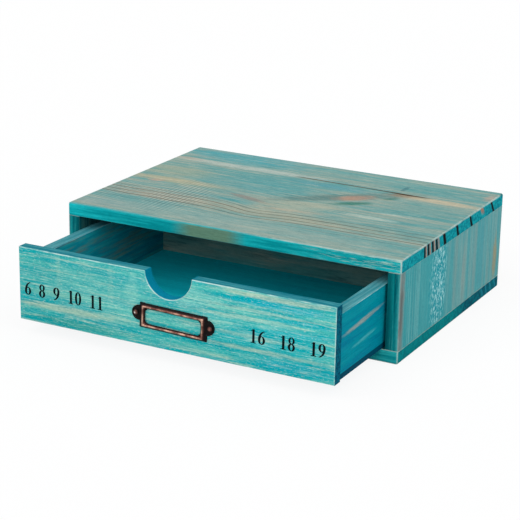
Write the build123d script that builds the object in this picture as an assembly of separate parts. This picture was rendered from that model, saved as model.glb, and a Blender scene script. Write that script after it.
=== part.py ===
from build123d import *
import math
import os

# A low pine case with one shallow drawer for buttons and haberdashery. The drawer's front has a
# half-round finger notch and carries a stamped label holder on two domed pins.
#
# Frame: millimetres, +X to the right, +Y from the front to the back, +Z up. The origin is the
# centre of the case's underside. The drawer stands pulled out, as the box is shown in use.

# ------------------------------------------------------------------ driving sizes
# Case: top and bottom boards run the full width, the two sides stand between them.
CASE_WIDTH = 250.0
CASE_DEPTH = 180.0
CASE_HEIGHT = 70.0
BOARD = 9.0                 # thickness of the four case boards
CASE_EASE = 1.6             # radius sanded on the outer arrises
JOINT_EASE = 0.3            # small bevel on edges that meet at a joint

# Back panel, let into a rebate in all four boards.
BACK_THICKNESS = 4.0
BACK_LAP = 4.5              # how far the panel laps onto each board
BACK_GAP = 0.2              # room round the panel in its rebate

# Drawer
PULL_OUT = 72.0             # how far the front stands out of the case at rest
RUN_GAP = 0.3               # under the drawer
FRONT_SIDE_GAP = 1.0        # between the front's ends and the case sides
FRONT_TOP_GAP = 1.7         # between the front's top edge and the top board
BAY_END_GAP = 3.0           # behind the shut drawer
FRONT_THICKNESS = 8.0
FRONT_EASE = 0.5            # bevel round the front's face and its notch
BODY_INSET = 1.0            # the drawer's sides stand in this far from the front's ends
SIDE_DROP = 7.0             # the sides' top edges lie this far below the front's
SIDE_THICKNESS = 9.0
DRAWER_BACK_THICKNESS = 8.0
FLOOR_THICKNESS = 4.0
DRAWER_EASE = 0.4

# Finger notch in the front's top edge
NOTCH_RADIUS = 17.0
NOTCH_DEPTH = 16.2
NOTCH_X = -1.5

# Dowels in the blind joints
DOWEL_RADIUS = 2.5
DOWEL_LENGTH = 20.0
DOWEL_BEVEL = 0.6
DOWEL_FLUTES = 12
DOWEL_IN_FACE = 5.5         # how deep a dowel enters the board whose face it meets
DOWEL_END_MARGIN = 24.0     # from a case side's ends to its first and last dowel
DOWELS_PER_JOINT = 2
FRONT_DOWEL_MARGIN = 9.0    # from a drawer side's edges to its two dowels
HOLE_GAP = 0.05             # round every dowel, brad and pin
HOLE_END_GAP = 0.3          # beyond the end of every dowel, brad and pin

# Brads
BRAD_RADIUS = 0.6
BRAD_HEAD_RADIUS = 1.2
BRAD_HEAD_HEIGHT = 0.8
BRAD_SIDES = 8
BACK_BRAD_LENGTH = 13.0
FLOOR_BRAD_LENGTH = 15.0
CORNER_BRAD_LENGTH = 21.0
BRAD_END_MARGIN = 16.0      # from a panel's corner to its first brad
BACK_BRADS_ACROSS = 4
FLOOR_BRADS_ALONG = 3
FLOOR_BRADS_ACROSS = 2
CORNER_BRADS = 2
CORNER_BRAD_MARGIN = 9.0    # from a drawer side's edges to its brads

# Label holder, one stamping: a skirt rises to a ridge and falls again to the window's lip.
LABEL_X = 2.5               # its centre on the drawer front
LABEL_Z = 19.9              # above the front's lower edge
LABEL_TILT = -1.5           # degrees, as hand-fitted
HOLDER_WIDTH = 49.5
HOLDER_HEIGHT = 17.0
HOLDER_CORNER = 0.8
HOLDER_SHEET = 0.6
RIDGE_INSET_X = 2.9         # from the skirt's foot to the ridge, at the ends
RIDGE_INSET_Z = 1.9         # and along the top and bottom
RIDGE_RISE = 2.2
RIDGE_WIDTH = 0.6
LIP_RUN = 1.05              # from the ridge in to the window's edge
WINDOW_CORNER = 3.0
LIP_RISE = 0.95             # front of the window's lip above the wood
EAR_RADIUS = 4.9
EAR_OVERHANG = 0.2          # the ear's centre stands this far outside the skirt's foot
EAR_RAISE = 1.3             # and this far above the frame's middle, with its pin
EAR_SHEET = 0.6
EAR_RIM_WIDTH = 0.7
EAR_RIM_RISE = 1.1
CARD_SLOT_MARGIN = 0.3      # the slot is this much wider than the window, each side
CARD_SLOT_HEIGHT = 0.5

# Domed pins that hold the label holder
PIN_FROM_FOOT = 2.1         # from the skirt's foot out to the pin's axis
PIN_HEAD_RADIUS = 1.9
PIN_HEAD_RISE = 1.3
PIN_RADIUS = 0.7
PIN_LENGTH = 7.0
PIN_POINT = 1.4

# ------------------------------------------------------------------ places that follow from them
case_front, case_rear = -CASE_DEPTH / 2, CASE_DEPTH / 2
bay_half = CASE_WIDTH / 2 - BOARD
bay_floor, bay_top = BOARD, CASE_HEIGHT - BOARD
bay_end = case_rear - BACK_THICKNESS

front_face = case_front - PULL_OUT
front_inner = front_face + FRONT_THICKNESS
front_half = bay_half - FRONT_SIDE_GAP
front_low, front_top = bay_floor + RUN_GAP, bay_top - FRONT_TOP_GAP
body_half = front_half - BODY_INSET
body_inner = body_half - SIDE_THICKNESS
drawer_end = bay_end - BAY_END_GAP - PULL_OUT
drawer_back_face = drawer_end - DRAWER_BACK_THICKNESS
floor_top = front_low + FLOOR_THICKNESS
side_top = front_top - SIDE_DROP

ridge_width, ridge_height = HOLDER_WIDTH - 2 * RIDGE_INSET_X, HOLDER_HEIGHT - 2 * RIDGE_INSET_Z
crest_width, crest_height = ridge_width - 2 * RIDGE_WIDTH, ridge_height - 2 * RIDGE_WIDTH
window_width, window_height = crest_width - 2 * LIP_RUN, crest_height - 2 * LIP_RUN

FORWARD, REARWARD = Vector(0, -1, 0), Vector(0, 1, 0)
UP, DOWN = Vector(0, 0, 1), Vector(0, 0, -1)


# ------------------------------------------------------------------ helpers
def block(x, y, z):
    """A box from its (low, high) pairs along X, Y and Z."""
    spans = [x, y, z]
    middle = [(low + high) / 2 for low, high in spans]
    return Pos(*middle) * Box(*[high - low for low, high in spans])


def spread(low, high, count, margin):
    """Evenly spaced places between two ends, the outer ones a margin inside them."""
    first, last = low + margin, high - margin
    return [first + (last - first) * i / (count - 1) for i in range(count)]


def rod(radius, low, high, sides):
    """A straight many-sided rod along Z."""
    return Pos(0, 0, low) * extrude(RegularPolygon(radius, sides), high - low)


def placed(solid, at, direction):
    """A piece modelled along Z from the origin, set at a place and pointed along a direction."""
    return Plane(origin=at, z_dir=direction) * solid


def dowel(at, direction):
    """A fluted dowel with bevelled ends, from one end point along a direction."""
    body = rod(DOWEL_RADIUS, 0, DOWEL_LENGTH, DOWEL_FLUTES)
    ends = body.faces().sort_by(Axis.Z)
    return placed(chamfer(ends[0].edges() + ends[-1].edges(), DOWEL_BEVEL), at, direction)


def dowel_hole(at, direction):
    """The drilled hole for a dowel, a little longer at both ends."""
    body = rod(DOWEL_RADIUS + HOLE_GAP, -HOLE_END_GAP, DOWEL_LENGTH + HOLE_END_GAP, DOWEL_FLUTES)
    return placed(body, at, direction)


def brad(at, direction, length, gap=0.0):
    """A brad with a small barrel head, from its head inwards, or with a gap its hole."""
    head = rod(BRAD_HEAD_RADIUS + gap, 0, BRAD_HEAD_HEIGHT + gap, BRAD_SIDES)
    shank = rod(BRAD_RADIUS + gap, 0, length + (HOLE_END_GAP if gap else 0.0), BRAD_SIDES)
    return placed(head + shank, at, direction)


def join(solids):
    """Separate pieces of one kind kept together as a group."""
    return Compound(children=list(solids))


def front_edges(solid):
    """The edges round the foremost face."""
    return solid.faces().sort_by(Axis.Y)[0].edges()


# ------------------------------------------------------------------ places of the fasteners
def case_dowel_places(joint_z, direction):
    """Dowels of the joints between one full-width board and the two sides."""
    depths = spread(case_front, case_rear, DOWELS_PER_JOINT, DOWEL_END_MARGIN)
    start = joint_z - direction.Z * DOWEL_IN_FACE
    x = CASE_WIDTH / 2 - BOARD / 2
    return [((sign * x, y, start), direction) for sign in (-1, 1) for y in depths]


def front_dowel_places():
    heights = (floor_top + FRONT_DOWEL_MARGIN, side_top - FRONT_DOWEL_MARGIN)
    x = body_half - SIDE_THICKNESS / 2
    start = front_inner - DOWEL_IN_FACE
    return [((sign * x, start, z), REARWARD) for sign in (-1, 1) for z in heights]


def back_brad_places():
    """Along the top and bottom edges of the back panel, on the middle of its lap."""
    across = spread(-bay_half, bay_half, BACK_BRADS_ACROSS, BRAD_END_MARGIN)
    rows = (bay_floor - BACK_LAP / 2, bay_top + BACK_LAP / 2)
    return [(x, case_rear, z) for z in rows for x in across]


def floor_brad_places():
    """Up through the drawer's floor into its sides and back."""
    x = body_half - SIDE_THICKNESS / 2
    along = spread(front_inner, drawer_back_face, FLOOR_BRADS_ALONG, BRAD_END_MARGIN)
    across = spread(-body_inner, body_inner, FLOOR_BRADS_ACROSS, BRAD_END_MARGIN)
    places = [(sign * x, y, front_low) for sign in (-1, 1) for y in along]
    return places + [(x, drawer_end - DRAWER_BACK_THICKNESS / 2, front_low) for x in across]


def corner_brad_places():
    """Through the drawer's sides into the ends of its back."""
    heights = spread(floor_top, side_top, CORNER_BRADS, CORNER_BRAD_MARGIN)
    y = drawer_end - DRAWER_BACK_THICKNESS / 2
    return [((sign * body_half, y, z), Vector(-sign, 0, 0)) for sign in (-1, 1) for z in heights]


def pin_places():
    """The two pin axes in the label holder's own plane."""
    x = HOLDER_WIDTH / 2 + PIN_FROM_FOOT
    return [(-x, EAR_RAISE), (x, EAR_RAISE)]


top_dowel_places = case_dowel_places(bay_top, DOWN)
bottom_dowel_places = case_dowel_places(bay_floor, UP)


# ------------------------------------------------------------------ case
def back_rebate():
    half = bay_half + BACK_LAP
    z = (bay_floor - BACK_LAP, bay_top + BACK_LAP)
    return block((-half, half), (bay_end, case_rear + BOARD), z)


def case_fastener_holes():
    holes = [dowel_hole(at, direction) for at, direction in top_dowel_places + bottom_dowel_places]
    return holes + [brad(at, FORWARD, BACK_BRAD_LENGTH, HOLE_GAP) for at in back_brad_places()]


def full_width_board(z, outward):
    """The top or bottom board: arrises rounded on its outer face, bevelled on its inner one."""
    board = block((-CASE_WIDTH / 2, CASE_WIDTH / 2), (case_front, case_rear), z)
    outer_face = board.faces().sort_by(Axis.Z)[-1 if outward.Z > 0 else 0]
    board = fillet(board.edges().filter_by(Axis.Z) + outer_face.edges(), CASE_EASE)
    inner_face = board.faces().sort_by(Axis.Z)[0 if outward.Z > 0 else -1]
    board = chamfer(inner_face.edges(), JOINT_EASE)
    return board - back_rebate() - case_fastener_holes()


def case_side(sign):
    """A side between the boards: its outer corners are rounded, the edges round its ends bevelled."""
    x = sorted((sign * bay_half, sign * CASE_WIDTH / 2))
    side = block(x, (case_front, case_rear), (bay_floor, bay_top))
    uprights = side.edges().filter_by(Axis.Z).sort_by(Axis.X)
    side = fillet(uprights[-2:] if sign > 0 else uprights[:2], CASE_EASE)
    ends = side.faces().sort_by(Axis.Z)
    side = chamfer(ends[0].edges() + ends[-1].edges(), JOINT_EASE)
    return side - back_rebate() - case_fastener_holes()


def back_panel():
    half = bay_half + BACK_LAP - BACK_GAP
    z = (bay_floor - BACK_LAP + BACK_GAP, bay_top + BACK_LAP - BACK_GAP)
    panel = block((-half, half), (bay_end, case_rear), z)
    panel = chamfer(panel.faces().sort_by(Axis.Y)[-1].edges(), JOINT_EASE)
    return panel - [brad(at, FORWARD, BACK_BRAD_LENGTH, HOLE_GAP) for at in back_brad_places()]


# ------------------------------------------------------------------ drawer
def drawer_fastener_holes():
    holes = [dowel_hole(at, direction) for at, direction in front_dowel_places()]
    holes += [brad(at, UP, FLOOR_BRAD_LENGTH, HOLE_GAP) for at in floor_brad_places()]
    return holes + [brad(at, way, CORNER_BRAD_LENGTH, HOLE_GAP) for at, way in corner_brad_places()]


def drawer_front():
    """The front board with its half-round notch; its edges and the notch's rim are bevelled."""
    board = block((-front_half, front_half), (front_face, front_inner), (front_low, front_top))
    centre = front_top + NOTCH_RADIUS - NOTCH_DEPTH
    notch = Pos(NOTCH_X, (front_face + front_inner) / 2, centre) * Rot(90, 0, 0)
    board -= notch * Cylinder(NOTCH_RADIUS, 2 * FRONT_THICKNESS)
    board = chamfer(front_edges(board), FRONT_EASE)
    pins = [label_plane() * label_pin(x, z, HOLE_GAP) for x, z in pin_places()]
    return board - drawer_fastener_holes() - pins


def drawer_side(sign):
    x = sorted((sign * body_inner, sign * body_half))
    side = block(x, (front_inner, drawer_end), (floor_top, side_top))
    long_top = side.faces().sort_by(Axis.Z)[-1].edges().filter_by(Axis.Y)
    side = fillet(long_top, DRAWER_EASE)
    return side - drawer_fastener_holes()


def drawer_back():
    """The back stands on the floor panel, between the sides."""
    back = block((-body_inner, body_inner), (drawer_back_face, drawer_end), (floor_top, side_top))
    long_top = back.faces().sort_by(Axis.Z)[-1].edges().filter_by(Axis.X)
    return fillet(long_top, DRAWER_EASE) - drawer_fastener_holes()


def drawer_floor():
    """The thin floor panel is pinned under the sides and back, and butts against the front."""
    panel = block((-body_half, body_half), (front_inner, drawer_end), (front_low, floor_top))
    edges = panel.faces().sort_by(Axis.Z)[0].edges() - front_edges(panel)
    return chamfer(edges, JOINT_EASE) - drawer_fastener_holes()


# ------------------------------------------------------------------ label holder and its pins
def label_plane():
    """The label holder's plane on the drawer's face: X along it, Y up it, Z out of the wood."""
    tilt = math.radians(LABEL_TILT)
    along = Vector(math.cos(tilt), 0, math.sin(tilt))
    return Plane(origin=(LABEL_X, front_face, front_low + LABEL_Z), x_dir=along, z_dir=FORWARD)


def tapered(low, high):
    """A solid lofted between two rounded rectangles, each (width, height, corner, rise)."""
    sections = [Pos(0, 0, rise) * RectangleRounded(w, h, corner) for w, h, corner, rise in (low, high)]
    return loft(Sketch() + sections)


def holder_frame():
    """The stamped frame: a skirt up to the ridge, and from there down to the window's lip."""
    foot = (HOLDER_WIDTH, HOLDER_HEIGHT, HOLDER_CORNER, 0)
    outside = tapered(foot, (ridge_width, ridge_height, HOLDER_CORNER, RIDGE_RISE))

    window = (window_width, window_height, WINDOW_CORNER, LIP_RISE)
    funnel = tapered(window, (crest_width, crest_height, HOLDER_CORNER, RIDGE_RISE))
    window_hole = extrude(RectangleRounded(window_width, window_height, WINDOW_CORNER), LIP_RISE)

    roof = RIDGE_RISE - HOLDER_SHEET
    sheet = 2 * HOLDER_SHEET
    bend = HOLDER_CORNER / 2
    hollow_foot = (HOLDER_WIDTH - sheet, HOLDER_HEIGHT - sheet, bend, 0)
    hollow = tapered(hollow_foot, (ridge_width, ridge_height, bend, roof))
    lip = (window_width + sheet, window_height + sheet, WINDOW_CORNER, LIP_RISE - HOLDER_SHEET)
    inner_leg = tapered(lip, (crest_width + bend, crest_height + bend, HOLDER_CORNER, roof))
    return outside - (hollow - inner_leg) - funnel - window_hole


def holder_ear(sign):
    """A round ear with a raised rim, outside the skirt, holed for its pin."""
    centre = Pos(sign * (HOLDER_WIDTH / 2 + EAR_OVERHANG), EAR_RAISE, 0)
    ear = extrude(Circle(EAR_RADIUS), EAR_SHEET)
    ear += extrude(Circle(EAR_RADIUS) - Circle(EAR_RADIUS - EAR_RIM_WIDTH), EAR_RIM_RISE)
    half = HOLDER_WIDTH / 2 - HOLDER_SHEET
    inside = block((-half, half), (-HOLDER_HEIGHT, HOLDER_HEIGHT), (-EAR_RADIUS, EAR_RADIUS))
    return centre * ear - inside


def label_holder():
    frame = holder_frame() + holder_ear(-1) + holder_ear(1)
    slot_half = window_width / 2 + CARD_SLOT_MARGIN
    slot = block((-slot_half, slot_half), (0, HOLDER_HEIGHT), (0, CARD_SLOT_HEIGHT))
    holes = [Pos(x, z, 0) * Cylinder(PIN_RADIUS + HOLE_GAP, 4 * EAR_RIM_RISE) for x, z in pin_places()]
    return label_plane() * (frame - slot - holes)


def label_pin(x, z, gap=0.0):
    """A domed pin seated on its ear in the label plane, or with a gap only its hole."""
    shank = PIN_RADIUS + gap
    tip = EAR_SHEET - PIN_LENGTH - (HOLE_END_GAP if gap else 0.0)
    lines = [(0, tip), (shank, tip + PIN_POINT), (shank, EAR_SHEET)]
    if gap:
        edges = Polyline(*lines, (0, EAR_SHEET), close=True)
    else:
        shoulder, crown = (PIN_HEAD_RADIUS, EAR_SHEET), (0, EAR_SHEET + PIN_HEAD_RISE)
        dome = (PIN_HEAD_RADIUS**2 + PIN_HEAD_RISE**2) / (2 * PIN_HEAD_RISE)
        edges = Polyline(*lines, shoulder) + RadiusArc(shoulder, crown, -dome) + Line(crown, (0, tip))
    return Pos(x, z, 0) * revolve(make_face(Plane.XZ * edges), Axis.Z)


# ------------------------------------------------------------------ every piece by its name
def make_parts():
    back_brads = [brad(at, FORWARD, BACK_BRAD_LENGTH) for at in back_brad_places()]
    floor_brads = [brad(at, UP, FLOOR_BRAD_LENGTH) for at in floor_brad_places()]
    corner_brads = [brad(at, direction, CORNER_BRAD_LENGTH) for at, direction in corner_brad_places()]
    return {
        "top_board": full_width_board((bay_top, CASE_HEIGHT), UP),
        "bottom_board": full_width_board((0, bay_floor), DOWN),
        "left_side": case_side(-1),
        "right_side": case_side(1),
        "back_panel": back_panel(),
        "top_dowels": join(dowel(at, direction) for at, direction in top_dowel_places),
        "bottom_dowels": join(dowel(at, direction) for at, direction in bottom_dowel_places),
        "back_panel_brads": join(back_brads),
        "drawer_front": drawer_front(),
        "drawer_left_side": drawer_side(-1),
        "drawer_right_side": drawer_side(1),
        "drawer_back": drawer_back(),
        "drawer_floor": drawer_floor(),
        "drawer_front_dowels": join(dowel(at, direction) for at, direction in front_dowel_places()),
        "drawer_back_brads": join(corner_brads),
        "drawer_floor_brads": join(floor_brads),
        "label_holder": label_holder(),
        "label_pins": join(label_plane() * label_pin(x, z) for x, z in pin_places()),
    }


os.makedirs("parts", exist_ok=True)
for name, shape in make_parts().items():
    export_step(shape, f"parts/{name}.step")
    print(f"{name}: {len(shape.solids())} solid(s), {shape.volume:.1f} mm3")
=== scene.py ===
# %% [markdown]
# # Dressing a stained pine drawer box
#
# The object is a low pine case with one shallow drawer, pulled out so that its empty inside
# shows. Its maker brushed on a teal stain and rubbed it back before it dried. Inside faces and
# end grain drank the stain and stayed dark. On the broad outer faces the rubbing left cream
# streaks along the grain.
#
# The boards come finished from a CAD model, at their real size. This lesson gives each of them
# its own grain, models the stamped label holder and its pins more finely than CAD does, and
# prints plain numbers on the drawer's front.

# %% Load the frame
import math
import bmesh
import bpy
from mathutils import Matrix, Vector


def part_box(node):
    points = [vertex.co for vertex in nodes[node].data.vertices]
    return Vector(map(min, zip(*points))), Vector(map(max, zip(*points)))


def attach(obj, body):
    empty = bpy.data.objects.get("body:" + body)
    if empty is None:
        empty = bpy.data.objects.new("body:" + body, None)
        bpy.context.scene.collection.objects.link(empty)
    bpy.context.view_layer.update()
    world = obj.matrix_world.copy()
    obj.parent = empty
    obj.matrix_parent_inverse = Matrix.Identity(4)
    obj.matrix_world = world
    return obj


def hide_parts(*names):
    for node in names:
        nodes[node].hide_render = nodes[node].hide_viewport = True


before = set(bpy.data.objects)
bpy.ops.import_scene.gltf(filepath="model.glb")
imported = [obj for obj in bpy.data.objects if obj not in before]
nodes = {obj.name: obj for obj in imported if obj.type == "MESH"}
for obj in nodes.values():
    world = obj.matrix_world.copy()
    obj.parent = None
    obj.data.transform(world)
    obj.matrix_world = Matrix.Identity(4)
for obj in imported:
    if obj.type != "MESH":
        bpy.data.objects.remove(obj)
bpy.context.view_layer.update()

MM = 0.001
print("boards and fittings:", ", ".join(sorted(nodes)))

# %% [markdown]
# ## The camera
#
# Blender's camera looks down its own -Z, with +Y up. It can be aimed by tracking an empty, but
# a photograph that has been measured gives an exact direction: an azimuth round the box, an
# elevation above the floor and a slight roll. Three turns in that order aim it. The lens comes
# from the focal length in pixels, by the ratio of the sensor to the picture's width.

# %% Aim the camera
PICTURE_WIDTH = 520
FOCAL_LENGTH_PIXELS = 1694.3
CAMERA_PLACE = (0.51445, -1.01699, 0.39791)
CAMERA_AZIMUTH = 27.831
CAMERA_ELEVATION = 18.188
CAMERA_ROLL = 1.049


def turned(degrees, axis):
    return Matrix.Rotation(math.radians(degrees), 4, axis)


bpy.ops.object.camera_add()
camera = bpy.context.object
camera.data.sensor_width = 36.0
camera.data.lens = FOCAL_LENGTH_PIXELS * camera.data.sensor_width / PICTURE_WIDTH
aim = turned(CAMERA_AZIMUTH, "Z") @ turned(90 - CAMERA_ELEVATION, "X") @ turned(CAMERA_ROLL, "Z")
camera.matrix_world = Matrix.Translation(CAMERA_PLACE) @ aim
bpy.context.scene.camera = camera
print(f"lens {camera.data.lens:.1f} mm")

# %% [markdown]
# ## Shader maths in plain Python
#
# A procedural finish is a web of nodes. Wired by hand it is slow to read, so two small classes
# do the wiring. A `Signal` wraps one socket, and a sum written with signals adds Math nodes. A
# `Finish` owns a material, and its `node` method adds any other node: settings first, because
# some of them change which sockets the node has, and then the values or links of its sockets.

# %% A signal that Python can add up
def operator(operation, flipped=False):
    def written(self, other):
        first, second = (other, self) if flipped else (self, other)
        return self.maths(operation, first, second)

    return written


class Signal:
    """One output of a node. Sums written with it become Math nodes in the same finish."""

    def __init__(self, finish, socket):
        self.finish = finish
        self.socket = socket

    def maths(self, operation, *values):
        return self.finish.node("ShaderNodeMath", {"operation": operation}, enumerate(values))

    __add__, __radd__ = operator("ADD"), operator("ADD", True)
    __sub__, __rsub__ = operator("SUBTRACT"), operator("SUBTRACT", True)
    __mul__, __rmul__ = operator("MULTIPLY"), operator("MULTIPLY", True)
    __truediv__, __rtruediv__ = operator("DIVIDE"), operator("DIVIDE", True)
    __pow__ = operator("POWER")
    highest = operator("MAXIMUM")

    def __abs__(self):
        return self.maths("ABSOLUTE", self)

    def sine(self):
        return self.maths("SINE", self)

    def out(self, name):
        """Another output of the same node."""
        return Signal(self.finish, self.socket.node.outputs[name])

    def rise(self, low, high):
        """A soft step from 0 at low to 1 at high. It falls where low is the larger."""
        sockets = {"Value": self, "From Min": low, "From Max": high}
        return self.finish.node("ShaderNodeMapRange", {"interpolation_type": "SMOOTHSTEP"}, sockets)

    def near(self, centre, width):
        """1 at the centre, falling gently to nothing a few widths away."""
        away = (self - centre) / width
        return 1 / (1 + away * away) ** 2

    def line(self, centre, width):
        """A thin line: 1 along its middle and 0 from half the width outwards."""
        return abs(self - centre).rise(width * 0.5, width * 0.2)


# %% A finish and its nodes
def tone(red, green, blue):
    """A colour written as a screen shows it, 0 to 255, turned into the linear light of shaders."""

    def linear(channel):
        share = channel / 255
        return share / 12.92 if share <= 0.04045 else ((share + 0.055) / 1.055) ** 2.4

    return linear(red), linear(green), linear(blue), 1.0


class Finish:
    """A procedural material while it is put together."""

    def __init__(self, name):
        self.material = bpy.data.materials.new(name)
        self.material.use_nodes = True
        self.tree = self.material.node_tree
        self.tree.nodes.clear()
        spot = self.node("ShaderNodeTexCoord", output="Object")
        self.x, self.y, self.z = self.parted(spot, 1 / MM)
        self.facing = self.parted(spot.out("Normal"), 1.0)

    def node(self, kind, settings=None, inputs=(), output=0):
        made = self.tree.nodes.new(kind)
        for name, value in (settings or {}).items():
            setattr(made, name, value)
        for socket, value in dict(inputs).items():
            if isinstance(value, Signal):
                self.tree.links.new(value.socket, made.inputs[socket])
            else:
                made.inputs[socket].default_value = value
        return Signal(self, made.outputs[output])

    def parted(self, vector, scale):
        """The three numbers of a vector, each times a scale."""
        numbers = self.node("ShaderNodeSeparateXYZ", inputs={0: vector})
        return [numbers.out(axis) * scale for axis in "XYZ"]

    def noise(self, place, detail=3.0, roughness=0.55):
        """Soft noise from 0 to 1 at a place given by three signals."""
        at = self.node("ShaderNodeCombineXYZ", inputs=enumerate(place))
        sockets = {"Vector": at, "Scale": 1.0, "Detail": detail, "Roughness": roughness}
        return self.node("ShaderNodeTexNoise", inputs=sockets)

    def mix(self, amount, under, over, how="MIX"):
        """One colour over another, by an amount from 0 to 1."""
        settings = {"data_type": "RGBA", "blend_type": how}
        return self.node("ShaderNodeMix", settings, {0: amount, 6: under, 7: over}, output=2)

    def lay(self, amount, colour, how="MIX"):
        """Lays a colour over what the finish has so far."""
        self.colour = self.mix(amount, self.colour, colour, how)

    def shade(self, amount):
        """Makes the colour darker or brighter by a factor."""
        sockets = {0: self.colour, "Scale": amount}
        self.colour = self.node("ShaderNodeVectorMath", {"operation": "SCALE"}, sockets)

    def done(self, roughness, relief, metallic=0.0, specular=0.5):
        """Wires up the shader. The relief is a height in millimetres."""
        bump = {"Height": relief, "Distance": MM, "Strength": 1.0}
        sockets = {
            "Base Color": self.colour,
            "Roughness": roughness,
            "Metallic": metallic,
            "Specular IOR Level": specular,
            "Normal": self.node("ShaderNodeBump", inputs=bump),
        }
        shader = self.node("ShaderNodeBsdfPrincipled", inputs=sockets)
        self.node_output(shader)
        print(f"{self.material.name}: {len(self.tree.nodes)} nodes")
        return self.material

    def node_output(self, shader):
        end = self.tree.nodes.new("ShaderNodeOutputMaterial")
        self.tree.links.new(shader.socket, end.inputs["Surface"])


# %% [markdown]
# ## The floor and the light
#
# A product picture has a white floor, a white surround and light so soft that shadows have no
# edge. A large floor plane does both: it catches the shadow and throws white light back up onto
# the upright faces. Sun lamps with a wide angle are soft and, unlike area lamps, light the whole
# floor evenly. The world is plain white to the camera and to reflections, and weaker as light.

# %% Lay the floor
FLOOR_SIZE = 12.0
FLOOR_DROP = 0.1 * MM
bpy.ops.mesh.primitive_plane_add(size=FLOOR_SIZE, location=(0, 0, -FLOOR_DROP))
floor = bpy.context.object
floor.name = "studio_floor"


def seen(finish):
    """1 for rays from the camera, from reflections and through glass, 0 for plain light."""
    path = finish.node("ShaderNodeLightPath", output="Is Camera Ray")
    return path.highest(path.out("Is Glossy Ray")).highest(path.out("Is Transmission Ray"))


FLOOR_LIFT = 0.89
paper = Finish("white_paper")
matt = paper.node("ShaderNodeBsdfDiffuse", inputs={"Color": tone(252, 253, 254)})
glow = paper.node("ShaderNodeEmission", inputs={"Color": tone(255, 255, 255), "Strength": 1.0})
lifted = {0: seen(paper) * FLOOR_LIFT, 1: matt, 2: glow}
paper.node_output(paper.node("ShaderNodeMixShader", inputs=lifted))
floor.data.materials.append(paper.material)

# %% Light the studio
SKY_LIGHT = 0.38


def sun(name, azimuth, height, share, spread):
    """A soft sun. Its share is the light that it gives to a surface that faces it."""
    turn = turned(azimuth, "Z") @ turned(90 - height, "X")
    bpy.ops.object.light_add(type="SUN", rotation=turn.to_euler())
    lamp = bpy.context.object
    lamp.name = name
    lamp.data.energy = share * math.pi
    lamp.data.angle = math.radians(spread)


sun("key_light", -35, 50, 0.29, 45)
sun("front_light", 10, 27, 0.32, 30)
sun("side_light", 75, 38, 0.29, 60)
sun("rear_light", 180, 45, 0.10, 70)

world = bpy.data.worlds.new("studio_white")
bpy.context.scene.world = world
world.use_nodes = True
world.node_tree.nodes.clear()


class Surround(Finish):
    """The world's own nodes, put together in the same way."""

    def __init__(self, tree):
        self.tree = tree


surround = Surround(world.node_tree)
lamps_only = surround.node("ShaderNodeBackground", inputs={"Strength": SKY_LIGHT, 0: (1, 1, 1, 1)})
plain_white = surround.node("ShaderNodeBackground", inputs={"Strength": 1.0, 0: (1, 1, 1, 1)})
shown = {0: seen(surround), 1: lamps_only, 2: plain_white}
both = surround.node("ShaderNodeMixShader", inputs=shown)
out = surround.tree.nodes.new("ShaderNodeOutputWorld")
surround.tree.links.new(both.socket, out.inputs["Surface"])
bpy.context.scene.view_settings.view_transform = "Standard"

# %% [markdown]
# ## A board of stained pine
#
# Every board shares one idea. Noise that is drawn out along the grain gives the fibres and the
# streaks of stain. A wide, slow noise says where the cloth rubbed harder. The finish works in
# the board's own directions, along, across and through, so the same pattern runs over the face,
# down the edge and comes out as end grain, as it does in real wood. Arrises are found by their
# normals, which point between two axes, and there the stain is rubbed pale.

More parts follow.
